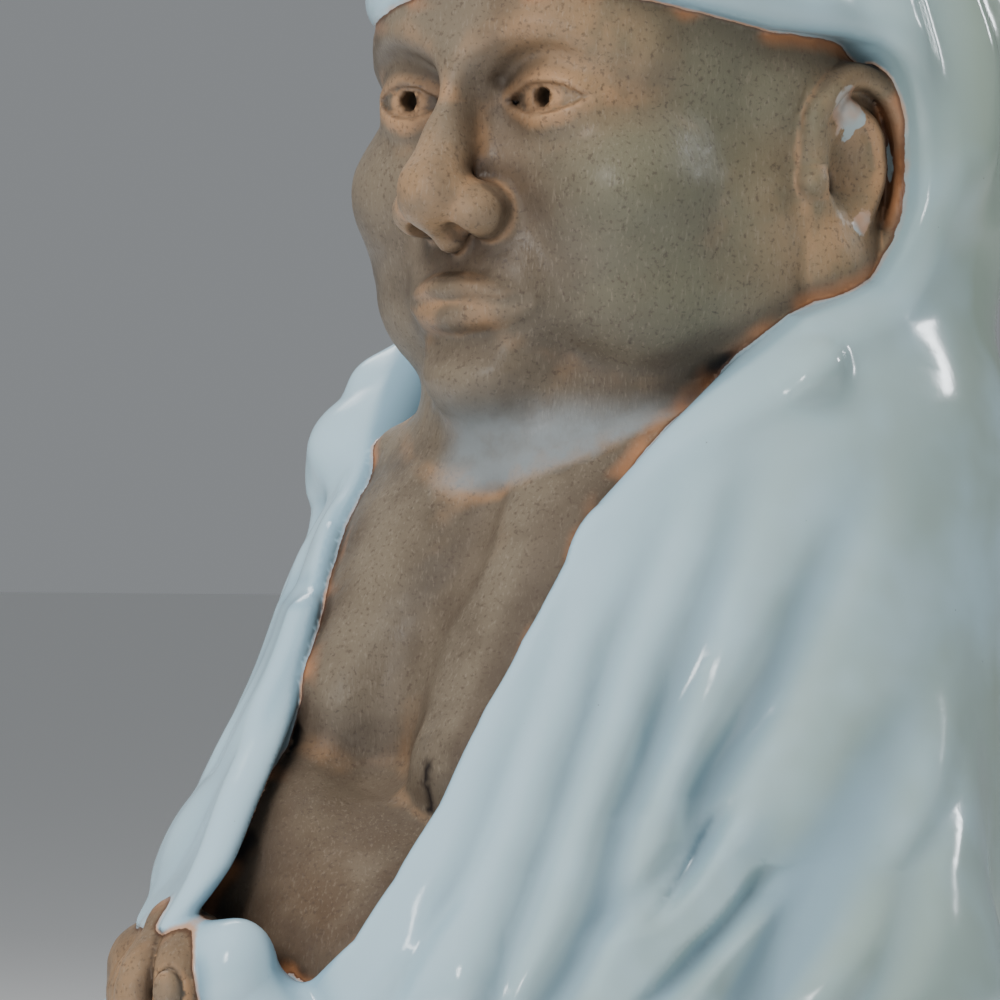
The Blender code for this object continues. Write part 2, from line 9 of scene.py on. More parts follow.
import bpy
import numpy as np
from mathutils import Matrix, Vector


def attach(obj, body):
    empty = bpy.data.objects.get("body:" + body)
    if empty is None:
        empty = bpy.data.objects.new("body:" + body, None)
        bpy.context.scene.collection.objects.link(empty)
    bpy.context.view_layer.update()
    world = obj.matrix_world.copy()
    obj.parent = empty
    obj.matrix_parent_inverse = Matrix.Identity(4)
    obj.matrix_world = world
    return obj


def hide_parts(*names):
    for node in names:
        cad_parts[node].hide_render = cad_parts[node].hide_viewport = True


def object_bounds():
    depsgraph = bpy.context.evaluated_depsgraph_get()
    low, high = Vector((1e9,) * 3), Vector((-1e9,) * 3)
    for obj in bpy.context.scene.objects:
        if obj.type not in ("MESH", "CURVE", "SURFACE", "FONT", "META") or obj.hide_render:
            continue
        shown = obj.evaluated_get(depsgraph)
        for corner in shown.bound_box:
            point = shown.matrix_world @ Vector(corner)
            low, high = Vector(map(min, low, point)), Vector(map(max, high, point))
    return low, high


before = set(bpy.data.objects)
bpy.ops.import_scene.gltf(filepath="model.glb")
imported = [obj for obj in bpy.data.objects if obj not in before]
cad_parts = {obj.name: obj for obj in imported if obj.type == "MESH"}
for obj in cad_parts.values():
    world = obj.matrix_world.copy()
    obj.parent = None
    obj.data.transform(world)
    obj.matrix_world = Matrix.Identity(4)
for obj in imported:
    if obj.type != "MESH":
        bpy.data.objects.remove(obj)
cad_low, cad_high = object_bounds()

# Sizes from the frame, in metres
PLINTH_HEIGHT = 0.009
PLINTH_MARGIN = 0.009
PLINTH_EDGE_RADIUS = 0.003
CLOTH_THICKNESS = 0.0036
PUPIL_DIAMETER = 0.0034
PUPIL_DEPTH = 0.0050
SHARES = 290
SHARE = (cad_high.z - PLINTH_HEIGHT) / SHARES

# How finely the form is read, and how many triangles are kept
CELL = 0.85
COARSE_STEPS = 4
TRIANGLES = 196000

# Masses that other forms line up with: (x, f, h), and radii
CHIN_HEIGHT = 173
BODY_AXIS = -10
FOLD_AXIS = 10
HIP = (34, -18, 36)
HIP_RADIUS = 37
KNEE = (80, 44, 28)
KNEE_RADIUS = 29
ANKLE = (14, 84, 24)
ANKLE_RADIUS = 23
CAPE = (0, -18, 150)
CAPE_RADII = (63, 55, 80)
HOOD_TOP_RADIUS = 49
EYE = (14.8, 31.0, 55.2)
EYE_RADIUS = 8.7
LID_RADIUS = 10.2
THUMB_TIP = (-7.2, 107, 77)
BACK_FOLDS = 16
LAP_FOLDS = 21
HOOD_FOLDS = 21

# The neck opening: half width to the figure's left and right at each height
OPENING_HEIGHT = (60, 66, 73, 78, 88, 98, 110, 123, 137, 150, 160, 172, 190)
OPENING_LEFT = (-6, -5, -3, 4, 14.5, 19.3, 22.5, 24, 23.8, 26, 26, 28.5, 33)
OPENING_RIGHT = (-6, 0, 12, 18, 21, 21, 21.5, 22.5, 23.5, 27, 30, 34.5, 38)

# The face opening: height of the hood's edge above it and of the collar below it, back to front
HOOD_EDGE_FRONT = (-40, -24, -10, 8, 24, 38, 60)
HOOD_EDGE_HEIGHT = (229, 232, 238.5, 240, 243.5, 246.5, 248)
COLLAR_FRONT = (-40, -24, -10, 5, 25, 40)
COLLAR_HEIGHT = (206, 204, 194, 188, 172, 160)
HOOD_BACK = -18.5

# Valleys between the robe's long folds: width, then height, degrees from the front, depth
VALLEYS = (
    (3.4, ((60, 11, 0), (72, 14, 0.8), (86, 20, 1.3), (101, 25, 1.4), (119, 29, 1.1), (140, 35, 0.4),
           (156, 39, 0))),
    (3.8, ((50, 24, 0), (66, 26.5, 1.4), (79, 29, 2.2), (98, 33.3, 2.2), (118, 38.5, 1.9), (136, 45, 1.4),
           (153, 54.8, 0.8), (172, 68, 0))),
    (4.4, ((50, 29, 0), (62, 31, 1.8), (75, 35, 3), (92, 41.4, 3.2), (108, 45.4, 3), (128, 55.6, 2.4),
           (146, 64, 1.9), (164, 75.3, 0.8), (176, 81, 0))),
    (4.8, ((88, 42, 0), (92, 45.5, 1.2), (98, 51, 2.2), (104, 56.8, 2.8), (111, 60, 3.2), (124, 69.3, 2.9),
           (142, 79, 2.3), (158, 90, 1.1), (172, 97, 0))),
    (2.7, ((64, 35, 0), (70, 40, 2), (75, 45.2, 3.2), (80, 50, 3.4), (87, 56, 3.3), (95, 64.6, 1.8),
           (100, 69, 0))),
    (1.8, ((89, 47, 0), (95, 52, 1.4), (101, 57, 1.8), (107, 62, 1.2), (112, 66, 0))),
    (7.4, ((46, 44, 0), (60, 51, 3.4), (75, 60, 4.4), (88, 68, 4.4), (101, 76, 3.4), (118, 85, 2.2),
           (130, 93, 0.8), (140, 99, 0))),
    (4.6, ((46, 58, 0), (60, 66, 1.6), (75, 73.6, 2.2), (99, 84, 1.9), (111, 94, 0.9), (124, 103, 0))),
)

# The lapel held taut from the chest to the right hand: its free edge, where it springs from the
# sleeve, and half its thickness at each height
TAUT_EDGE = ((-11.4, 103.5, 89.5), (-10.6, 94.5, 99.5), (-14.5, 83, 111), (-22.4, 64.5, 126), (-26, 52, 146))
TAUT_ROOT = ((-28, 90, 89.5), (-35, 72, 99.5), (-38, 60, 111), (-38, 49, 126), (-38, 39, 146))
TAUT_HEIGHT = (88, 92, 100, 112, 126, 144)
TAUT_THICKNESS = (1.5, 1.8, 2.4, 2.6, 2.6, 1.8)

# Places given a painted warm highlight, with how far each reaches, the middle of the belly's darker patch,
# and the kiln mark
HIGHLIGHT_PLACES = ((15, (43, -6, 207)), (9, (44, -8, 226)), (12, (0, 50, 212)),
          (24, (-22, 100, 80)), (12, (20, 36, 236)))
DARKER_BELLY_CENTRE = (0, 80, 86)
KILN_MARK = ((11.9, 65.6, 115.9), (12.2, 65.2, 109.2))

# How far from the surface its hollows, sheltered places and crests are felt
CREVICE_REACH = 2.2
SHELTER_REACH = 9
CREST_REACH = 2.5

# The camera: the photograph's viewing angle, and the height and width that it takes in
CAMERA_TURN = math.radians(40)
CAMERA_DISTANCE = 1.7
VIEW_WIDTH = 0.173
VIEW_CENTRE = Vector((-0.0161, 0.0035, 0.170))
SENSOR_WIDTH = 36.0
FLOOR_WIDTH = 24.0

# A cell's corners, the bit that each sets in the cell's code, and the cell's edges
CORNERS = np.array([(i & 1, i >> 1 & 1, i >> 2 & 1) for i in range(8)])
CORNER_BITS = 1 << np.arange(8)
CELL_EDGES = [(a, a | 1 << axis) for axis in range(3) for a in range(8) if not a & 1 << axis]


def join(a, b, soft):
    """Union of two distances, with a seam about soft wide."""
    seam = np.maximum(soft - np.abs(a - b), 0) / soft
    return np.minimum(a, b) - seam * seam * soft / 4


def overlap(a, b, soft):
    return -join(-a, -b, soft)


def carve(body, hollow, soft):
    return -join(-body, hollow, soft)


def mirrored(q):
    return [np.abs(q[0]), q[1], q[2]]


def egg(q, centre, radii):
    """Distance to an ellipsoid, close to true near its surface."""
    u = [(q[i] - centre[i]) / radii[i] for i in range(3)]
    near_one = np.sqrt(u[0]**2 + u[1]**2 + u[2]**2)
    slope = np.sqrt((u[0] / radii[0])**2 + (u[1] / radii[1])**2 + (u[2] / radii[2])**2)
    return near_one * (near_one - 1) / np.maximum(slope, 1e-6)


def ball(q, centre, radius):
    return np.sqrt(sum((q[i] - centre[i])**2 for i in range(3))) - radius


def limb(q, start, end, start_radius, end_radius):
    """Distance to a round bar between two points, tapering along its length."""
    line = [end[i] - start[i] for i in range(3)]
    offset = [q[i] - start[i] for i in range(3)]
    along = np.clip(sum(offset[i] * line[i] for i in range(3)) / sum(c * c for c in line), 0, 1)
    away = np.sqrt(sum((offset[i] - along * line[i])**2 for i in range(3)))
    return away - (start_radius + (end_radius - start_radius) * along)


def smooth_path(points, steps):
    """Catmull-Rom curve through the points."""
    p = np.array(points, float)
    p = np.vstack([2 * p[0] - p[1], p, 2 * p[-1] - p[-2]])
    path = []
    for a, b, c, d in zip(p, p[1:], p[2:], p[3:]):
        for t in np.arange(steps) / steps:
            bend = (c - a) * t + (2 * a - 5 * b + 4 * c - d) * t**2 + (3 * b - a - 3 * c + d) * t**3
            path.append(b + bend / 2)
    path.append(p[-2])
    return path


def cord(q, points, first_radius, last_radius, steps=4):
    """Distance to a round bar along a smooth curve through the points."""
    path = smooth_path(points, steps)
    radii = np.linspace(first_radius, last_radius, len(path))
    distance = limb(q, path[0], path[1], radii[0], radii[1])
    for i in range(1, len(path) - 1):
        distance = np.minimum(distance, limb(q, path[i], path[i + 1], radii[i], radii[i + 1]))
    return distance


def near(q, d, centre, reach, shape):
    """Applies shape(q, d) to the points within reach of centre and leaves the others."""
    inside = sum((q[i] - centre[i])**2 for i in range(3)) < reach * reach
    if inside.any():
        d = d.copy()
        d[inside] = shape([c[inside] for c in q], d[inside])
    return d


def ridges(phase, sharpness):
    """1 on a crest and 0 in a valley, with a crest at each whole number of phase."""
    return (0.5 + 0.5 * np.cos(2 * np.pi * phase))**sharpness


def ramp(value, start, end):
    t = np.clip((value - start) / (end - start), 0, 1)
    return t * t * (3 - 2 * t)


def turn_about(q, axis):
    """Angle round an upright line at front axis, 0 straight ahead."""
    return np.arctan2(q[0], q[1] - axis)


def unevenness(q, spacing, seed):
    """Smooth humps between -1 and 1, about spacing apart."""
    total = 0
    for i in range(4):
        turn = seed + 2.4 * i
        tilt = 0.9 * math.sin(1.7 * seed + 1.3 * i)
        across = math.cos(tilt) * (math.cos(turn) * q[0] + math.sin(turn) * q[1]) + math.sin(tilt) * q[2]
        bent = across + spacing * 0.4 * np.sin(2 * np.pi * (q[2] - q[0]) / (spacing * (2.3 + 0.3 * i)))
        total = total + np.sin(2 * np.pi * bent / (spacing * (0.8 + 0.17 * i)) + 5 * seed)
    return total / 4


def eye(q, d):
    """Socket, lids, ball and drilled pupil of the left eye."""
    x, f, h = EYE
    pupil = PUPIL_DIAMETER / 2 / SHARE
    drilled = f + EYE_RADIUS - PUPIL_DEPTH / SHARE + pupil
    d = carve(d, egg(q, (x, f + 13.5, h + 0.5), (11, 7, 7.8)), 6)
    d = join(d, ball(q, (x, f, h - 0.3), LID_RADIUS), 3)
    across = q[0] - x
    bow = np.maximum(1 - (across / 6.9)**2, -1)
    upper_line = h + 0.2 + 2.3 * bow + 0.05 * across
    lower_line = h - 0.8 - 2.1 * bow + 0.02 * across
    crease = [(x - 8.5, f + 8.6, h + 3), (x - 4, f + 10.2, h + 5.6), (x + 1, f + 10.6, h + 6.8),
              (x + 6, f + 8.6, h + 5.6), (x + 10.5, f + 5.6, h + 2.6)]
    d = carve(d, cord(q, crease, 0.7, 0.7, 6), 2.6)
    opening = overlap(q[2] - upper_line, lower_line - q[2], 0.6)
    opening = np.maximum(opening, f + 2.5 - q[1])
    d = carve(d, opening, 1.3)
    d = join(d, egg(q, EYE, (EYE_RADIUS + 1.2, EYE_RADIUS, EYE_RADIUS + 0.3)), 0.8)
    return carve(d, limb(q, (x, drilled, h), (x, f + 14, h), pupil, pupil), 0.5)


def nose(q, d):
    d = join(d, limb(q, (0, 39.6, 62), (0, 49.8, 41.5), 3.8, 4.8), 6)
    d = join(d, ball(q, (0, 50.4, 38.4), 5.6), 4)
    d = join(d, egg(q, (6.6, 45.4, 36.2), (4.2, 6, 4.6)), 3.2)
    d = join(d, limb(q, (0, 50.4, 35.6), (0, 46, 31.5), 2.2, 2.4), 2.5)
    d = carve(d, egg(q, (4, 48.4, 32.2), (1.9, 3.2, 2)), 1.2)
    return carve(d, cord(q, [(9.4, 45.4, 41.2), (11.8, 42.4, 37), (11, 43, 32)], 0.6, 0.6), 2.8)


def mouth(q, d):
    upper_lip = [(-1, 44.8, 22.6), (3.2, 45, 23.2), (8, 42.6, 22.2), (12.4, 39.4, 20.9)]
    lower_lip = [(-1, 44.4, 17.8), (4, 43.9, 17.9), (8.6, 41.4, 18.9), (12, 39, 20.1)]
    parting = [(-1, 48, 20.7), (3.6, 47.6, 21), (8.4, 44.8, 20.7), (13.4, 41.2, 20.7)]
    cheek_fold = [(11.4, 44.4, 37.5), (15.6, 41.2, 29.5), (19.2, 39, 20.5)]
    d = join(d, egg(q, (0, 32.5, 22.5), (16, 12.2, 12.5)), 6)
    d = carve(d, limb(q, (0, 47.9, 30), (0, 48.1, 25.6), 1, 1.2), 2.6)
    d = join(d, cord(q, upper_lip, 2.5, 1, 8), 2.2)
    d = join(d, cord(q, lower_lip, 3.1, 1, 8), 2)
    d = carve(d, cord(q, parting, 0.9, 0.5, 8), 1.2)
    d = carve(d, limb(q, (0, 47.6, 13.2), (6, 46.2, 13.6), 1.2, 1), 6)
    return carve(d, cord(q, cheek_fold, 0.6, 0.6, 8), 5)


def ear(q, d):
    """The long-lobed left ear."""
    rim = [(41.6, -1, 45.5), (42.6, -0.4, 53), (43.6, -7.5, 59.4), (45.2, -16, 57),
           (46.2, -20.5, 47.5), (45.6, -19.4, 35.5), (44.2, -15, 25.5)]
    inner_fold = [(43.6, -7, 54), (44.6, -13, 50.5), (44.6, -14.4, 42.5), (43.6, -11, 34.2)]
    d = join(d, egg(q, (41, -9.5, 42), (3.8, 11.2, 19.5)), 3)
    d = join(d, egg(q, (41.8, -8.5, 26.5), (4.4, 9, 8.6)), 3)
    d = join(d, cord(q, rim, 2.2, 2.6, 6), 1.4)
    d = carve(d, egg(q, (46, -6.6, 43.2), (4.2, 5, 8)), 1.6)
    d = join(d, cord(q, inner_fold, 1.5, 1.5, 6), 1.4)
    d = join(d, ball(q, (42.2, 0.2, 41.2), 2.6), 1.8)
    return carve(d, limb(q, (40, -3.4, 41.5), (46, -4.4, 41.5), 1.4, 2), 1.4)


def head(q):
    """The bald head, in its own frame: h counts up from the chin, and the ears lie at f 0."""
    m = mirrored(q)
    brow = [(-5, 40.4, 61), (4, 40.4, 61.4), (11, 40.4, 64.2), (19, 36.6, 65.4), (27, 28, 62.5)]
    d = egg(q, (0, -3, 69), (38.5, 46, 42.5))
    d = join(d, egg(q, (0, 10, 78), (31, 33, 27)), 8)
    d = join(d, egg(q, (0, 10, 37), (32.5, 31.5, 37)), 12)
    d = join(d, egg(m, (20, 16, 23), (14.5, 18, 15.5)), 10)
    d = join(d, egg(m, (21.5, 25.5, 40), (13.5, 13.5, 12)), 8)
    d = join(d, egg(q, (0, 34.8, 9), (12, 11.5, 9)), 6)
    d = join(d, egg(q, (0, 14, 2), (22, 22, 9)), 8)
    d = join(d, egg(m, (32, -2, 27), (9.6, 15, 27)), 9)
    d = join(d, egg(m, (35, -4, 58), (7, 12, 12)), 5)
    d = join(d, cord(m, brow, 3.6, 2.2, 8), 9)
    d = near(m, d, (0, 40, 40), 52, mouth)
    d = near(m, d, (0, 44, 45), 34, nose)
    d = near(m, d, EYE, 26, eye)
    return near(m, d, (42, -8, 40), 36, ear)


def chest_and_belly(q):
    d = join(limb(q, (0, 2, 190), (0, 5, 150), 29.5, 34), egg(q, (0, -10, 92), (48, 44, 92)), 6)
    d = join(d, egg(q, (0, 9, 128), (57, 43, 50)), 14)
    d = join(d, limb(q, (12.5, 29, 147), (14.5, 50.5, 114), 13.5, 15.5), 10)
    d = join(d, limb(q, (-14, 29, 147), (-17.5, 48, 124.5), 13.5, 14), 11)
    d = join(d, egg(q, (-20, 62, 95), (22, 22, 21)), 10)
    d = join(d, egg([q[0], q[1], q[2] + 0.27 * q[0]], (0, 36, 78.5), (54, 52, 38)), 5)
    d = join(d, limb(mirrored(q), (7, 30, 161), (32, 22, 169), 2.2, 3), 7)
    sternum = [(4.5, 42.5, 161), (4, 48.5, 150), (-1, 54.5, 140), (-3.2, 59.5, 129), (-4, 62, 117)]
    d = carve(d, cord(q, sternum, 1.8, 3.4), 9)
    neck_crease = [(-27, 20, 171), (-12, 34, 163.5), (2, 37, 161.5), (14, 33, 165), (27, 20, 171)]
    return carve(d, cord(q, neck_crease, 0.5, 0.5), 3.4)


def right_hand(q, d):
    """Four curled fingers, from the index finger outward, and the thumb with its nail."""
    for i in range(4):
        knuckle = (-15.5 - 6.8 * i, 97.5 - 6.2 * i, 89.5 - 1.9 * i - 0.5 * i * i)
        middle = (-16.2 - 7 * i, 106 - 6.9 * i, 79.5 - 0.8 * i)
        last = (-15 - 6.9 * i, 103.5 - 6.6 * i, 67.5 + 0.7 * i)
        tip = (-13 - 6.6 * i, 97 - 5.8 * i, 63.5 + 1.2 * i)
        thickness = 4.5 - 0.3 * abs(i - 0.8)
        finger = cord(q, [knuckle, middle, last, tip], thickness + 0.2, thickness - 0.4, 4)
        d = join(d, finger, 0.8)
        d = join(d, ball(q, knuckle, thickness + 0.5), 2)
        for joint in (middle, last):
            x, f, h = joint
            crease = [(x - 4, f + 3.2, h + 1.5), (x, f + 5.2, h + 2), (x + 4, f + 3.2, h + 1.5)]
            d = carve(d, cord(q, crease, 0.15, 0.15, 3), 0.9)
    d = join(d, egg(q, (-25, 85, 82), (15, 10, 9.5)), 3)
    thumb = [(-18, 88, 86), (-11, 98, 87.5), (-8.4, 104.6, 83.5), THUMB_TIP]
    d = join(d, cord(q, thumb, 5, 3.9, 4), 0.8)
    x, f, h = THUMB_TIP
    nail = egg(q, (x + 0.6, f + 2.7, h + 2.6), (2.6, 2.2, 3.6))
    d = carve(d, egg(q, (x + 0.6, f + 3.2, h + 2.6), (3.3, 2.3, 4.4)), 0.4)
    return join(d, nail, 0.3)


def skin(q):
    """Everything bare: head, neck, chest, belly and hand."""
    head_frame = [q[0], q[1], q[2] - CHIN_HEIGHT]
    d = chest_and_belly(q)
    close = q[0]**2 + q[1]**2 + (head_frame[2] - 50)**2 < 95**2
    rough_head = egg(head_frame, (0, 0, 55), (50, 60, 60))
    joined = np.minimum(d, rough_head)
    if close.any():
        joined[close] = join(d[close], head([c[close] for c in head_frame]), 5)
    joined = near(q, joined, (-22, 98, 82), 44, right_hand)
    return joined - 0.12 * unevenness(q, 11, 1) - 0.05 * unevenness(q, 4.3, 2)


def shoulders_and_sleeves(q):
    m = mirrored(q)
    d = egg(q, (0, -8, 98), (66, 60, 96))
    d = join(d, egg(q, CAPE, CAPE_RADII), 12)
    d = join(d, limb(m, (34, -4, 158), (60, 12, 78), 25, 25), 10)
    return join(d, limb(m, (60, 12, 78), (30, 74, 80), 23, 13), 8)


def drape_over_chest(q):
    """Cloth a named thickness over a chest whose hollows it bridges."""
    m = mirrored(q)
    d = join(limb(q, (0, 2, 190), (0, 5, 150), 29.5, 34), egg(q, (0, 9, 128), (57, 43, 50)), 14)
    d = join(d, limb(m, (14, 29, 147), (18, 49.5, 116), 13.5, 15), 12)
    d = join(d, egg(q, (0, 36, 74), (57, 52.5, 59)), 14)
    return d - CLOTH_THICKNESS / SHARE


def long_folds(q):
    """Height of the soft folds between the valleys that run from the shoulders to the hand."""
    side = np.degrees(np.abs(turn_about(q, FOLD_AXIS)))
    side = side + np.where(q[0] < 0, 2 * np.sin(q[2] / 17), 0)
    around = np.hypot(q[0], q[1] - FOLD_AXIS) * math.pi / 180
    height = 0
    for width, path in VALLEYS:
        heights, turns, depths = zip(*path)
        away = (side - np.interp(q[2], heights, turns)) * around
        depth = np.interp(q[2], heights, depths, left=0, right=0)
        slant = 1.1 * (turns[-1] - turns[0]) / (heights[-1] - heights[0])
        across = away / (0.92 * width * math.hypot(1, slant))
        height = height - 1.25 * depth * (np.exp(-across**2) - 0.34 * np.exp(-(across / 2.1)**2))
    return height


def back_folds(q):
    turn = turn_about(q, BODY_AXIS)
    phase = BACK_FOLDS * turn / (2 * np.pi) + 0.3 * np.sin(2 * turn + 0.8)
    phase = phase + 0.22 * np.sin(q[2] / 27 + turn)
    reach = ramp(np.abs(turn), 1.6, 2.2) * (1 - 0.6 * ramp(q[2], 150, 200))
    depth = 0.75 + 0.35 * np.sin(3 * turn + q[2] / 40)
    return 2.6 * reach * depth * (ridges(phase, 1.1) - 0.45)


def leg(q):
    """The left thigh and shin; the shin crosses to the middle."""
    thigh = limb(q, HIP, KNEE, HIP_RADIUS, KNEE_RADIUS)
    return join(thigh, limb(q, KNEE, ANKLE, KNEE_RADIUS - 2, ANKLE_RADIUS), 12)


def lap(q):
    """Crossed legs under the robe, with folds that hang from the hands and over the knees."""
    d = join(leg(q), leg([-q[0], q[1], q[2]]), 12)
    d = join(d, egg(q, (0, 24, 20), (90, 70, 34)), 12)
    from_hands = np.sqrt((q[0] * 0.62)**2 + ((q[1] - 96) * 0.8)**2 + (q[2] - 74)**2)
    reach = ramp(from_hands, 8, 25) * (1 - ramp(from_hands, 62, 90)) * ramp(q[1], 20, 60)
    d = d - 2.6 * reach * (ridges(from_hands / 15, 1.2) - 0.4)
    turn = turn_about(q, FOLD_AXIS)
    phase = LAP_FOLDS * turn / (2 * np.pi) + 0.35 * np.sin(3 * turn + 2) + 0.25 * np.sin(q[2] / 12)
    reach = (1 - ramp(q[1], 40, 75)) * (1 - ramp(q[2], 30, 60))
    return d - 2.2 * reach * (ridges(phase, 1.2) - 0.4)


def hood(q):
    top = CHIN_HEIGHT + 68
    d = egg(q, (0, -5, top), (43.5, 51.5, HOOD_TOP_RADIUS))
    d = join(d, egg(q, (0, -29, 222), (56, 45, 60)), 14)
    turn = turn_about(q, BODY_AXIS)
    phase = HOOD_FOLDS * turn / (2 * np.pi) + 0.35 * np.sin(2 * turn + 1)
    phase = phase + 0.2 * np.sin(q[2] / 16 + turn)
    reach = ramp(q[2], 206, 222) * (1 - ramp(q[2], 246, 280)) * ramp(np.abs(turn), 1.15, 1.7)
    depth = 0.8 + 0.3 * np.sin(4 * turn)
    return d - 3.2 * reach * depth * (ridges(phase, 1) - 0.45)


def openings(q):
    """The face opening of the hood and the long opening down the chest, as one hollow."""
    hood_edge = np.interp(q[1], HOOD_EDGE_FRONT, HOOD_EDGE_HEIGHT)
    hood_edge = hood_edge - 5 * np.exp(-((q[0] + 23) / 12)**2) * ramp(q[1], 14, 30)
    collar = np.interp(q[1], COLLAR_FRONT, COLLAR_HEIGHT) + 3.5 * ramp(q[0], 0, 20)
    face = overlap((q[2] - hood_edge) * 0.85, HOOD_BACK - q[1], 14)
    face = overlap(face, (collar - q[2]) * 0.8, 10)
    left = np.interp(q[2], OPENING_HEIGHT, OPENING_LEFT)
    right = np.interp(q[2], OPENING_HEIGHT, OPENING_RIGHT)
    front = np.where(q[0] > 0, q[0] - left, -q[0] - right) * 0.9
    front = overlap(front, -16 - q[1], 10)
    front = overlap(front, q[2] - 200, 4)
    return join(front, face, 8)


def shoulder_swell(q, d):
    """The cape's rounded shoulder on the figure's right, and the fold below it."""
    d = join(d, ball(q, (-44, 11.5, 166), 14), 5)
    return carve(d, cord(q, [(-46, 30, 160), (-57, 18, 158.5), (-60, 4, 161)], 0.8, 0.8), 3)


def taut_lapel(q, d):
    """Sheet of cloth between the lapel's edge and the sleeve, level by level."""
    edge = np.array(smooth_path(TAUT_EDGE, 6))
    root = np.array(smooth_path(TAUT_ROOT, 6))
    x, f = [np.interp(q[2], edge[:, 2], edge[:, i]) for i in (0, 1)]
    line = [np.interp(q[2], root[:, 2], root[:, i]) - c for i, c in ((0, x), (1, f))]
    offset = [q[0] - x, q[1] - f]
    along = (offset[0] * line[0] + offset[1] * line[1]) / (line[0]**2 + line[1]**2)
    along = np.clip(along, 0, 1)
    away = np.hypot(offset[0] - along * line[0], offset[1] - along * line[1])
    thickness = np.interp(q[2], TAUT_HEIGHT, TAUT_THICKNESS)
    sheet = 0.72 * away - thickness * (1 + 0.3 * along)
    return join(d, overlap(sheet, np.abs(q[2] - 116) - 28, 3), 3)


def gathered_cloth(q, d):
    """The lap of cloth that the hand holds up."""
    tongue = limb(q, (1, 86, 62), (-3, 98, 80), 15, 8)
    tongue = join(tongue, limb(q, (-6, 99, 85), (-1.5, 98.5, 85.5), 6, 6), 4)
    return join(d, tongue, 4)


def robe(q):
    m = mirrored(q)
    d = join(shoulders_and_sleeves(q), drape_over_chest(q), 5)
    d = near(q, d, (-44, 12, 164), 30, shoulder_swell)
    d = d - long_folds(q)
    d = d - back_folds(q)
    d = join(d, chest_and_belly(q) - 0.5 * CLOTH_THICKNESS / SHARE, 1)
    d = join(d, lap(q), 9)
    d = join(d, egg([m[0] * 0.9, q[1], q[2]], (42, 52, 58), (24, 34, 22)), 8)
    d = join(d, hood(q), 9)
    d = join(d, egg(m, (47.5, 8, 181.5), (6, 6, 6.4)), 3)
    d = d - 0.2 * unevenness(q, 27, 4) - 0.04 * unevenness(q, 9, 5)
    hollow = openings(q)
    rolled_edge = np.exp(-((hollow - 4.2) / 2.6)**2) * ramp(q[2], 160, 180)
    d = carve(d - 0.7 * rolled_edge, hollow, 3)
    d = near(q, d, (-3, 94, 78), 46, gathered_cloth)
    d = near(q, d, (-24, 72, 116), 62, taut_lapel)
    return overlap(d, -q[2] - PLINTH_HEIGHT / SHARE / 2, 1)


def plinth_reach():
    """Half width, front and back of the plinth, in shares: the margin stands out past the lap."""
    margin = PLINTH_MARGIN / SHARE
    half_width = KNEE[0] + KNEE_RADIUS + margin
    front = ANKLE[1] + ANKLE_RADIUS + margin
    back = CAPE[1] - CAPE_RADII[1] - margin
    return half_width, front, back


def plinth(q):
    """A low oval slab with a rounded upper edge."""
    half_width, front, back = plinth_reach()
    half_depth = (front - back) / 2
    squareness = 2.4
    across = (np.abs(q[0]) / half_width)**squareness
    along = (np.abs(q[1] - (front + back) / 2) / half_depth)**squareness
    side = ((across + along)**(1 / squareness) - 1) * half_depth
    slab = overlap(side, q[2], PLINTH_EDGE_RADIUS / SHARE)
    return overlap(slab, -q[2] - PLINTH_HEIGHT / SHARE, 0.4)


def columns(points):
    return [points[:, i].astype(np.float32) for i in range(3)]


def figure(points):
    """Distance from each point (x, f, h) to the casting's surface, negative inside."""
    q = columns(points)
    return join(join(skin(q), robe(q), 0.8), plinth(q), 0.8)


def parts_of(corners):
    """How many separate groups the cell corners form along the cell's edges."""
    left = set(corners)
    groups = 0
    while left:
        groups += 1
        reached = [left.pop()]
        while reached:
            corner = reached.pop()
            beside = {corner ^ 1 << axis for axis in range(3)} & left
            left -= beside
            reached += beside
    return groups


def pinched_cells():
    """For each of the 256 ways a cell's corners lie inside or out, whether its surface pinches."""
    sides = [[c for c in range(8) if c >> axis & 1 == end] for axis in range(3) for end in (0, 1)]
    pinched = np.zeros(256, bool)
    for code in range(256):
        inside = [c for c in range(8) if code >> c & 1]
        outside = [c for c in range(8) if not code >> c & 1]
        pinched[code] = parts_of(inside) > 1 or parts_of(outside) > 1
        for side in sides:
            a, b, c, d = [corner in inside for corner in side]
            if a == d and b == c and a != b:
                pinched[code] = True
    return pinched


def cell_keys(cells):
    cells = cells.astype(np.int64)
    return (cells[..., 0] << 42) | (cells[..., 1] << 21) | cells[..., 2]


def cells_near_surface(low, high):
    """Cells that the surface may cross, found by halving larger cells that lie close to it."""
    count = np.ceil((high - low) / (CELL * 2**COARSE_STEPS)).astype(int) + 1
    cells = np.indices(count).reshape(3, -1).T
    for step in range(COARSE_STEPS, 0, -1):
        size = CELL * 2**step
        close = np.abs(figure(low + (cells + 0.5) * size)) < size * 1.5
        cells = (cells[close][:, None] * 2 + CORNERS).reshape(-1, 3)
    return cells


def fill_pinches(values, corners):
    """Moves the surface past single corners until no cell pinches it."""
    pinched = pinched_cells()
    while True:
        found = corners[pinched[(values[corners] < 0) @ CORNER_BITS]]
        if not len(found):
            return values
        outside = np.where(values[found] < 0, np.inf, values[found])
        nearest = found[np.arange(len(found)), outside.argmin(1)]
        values[nearest] = -0.02 * CELL


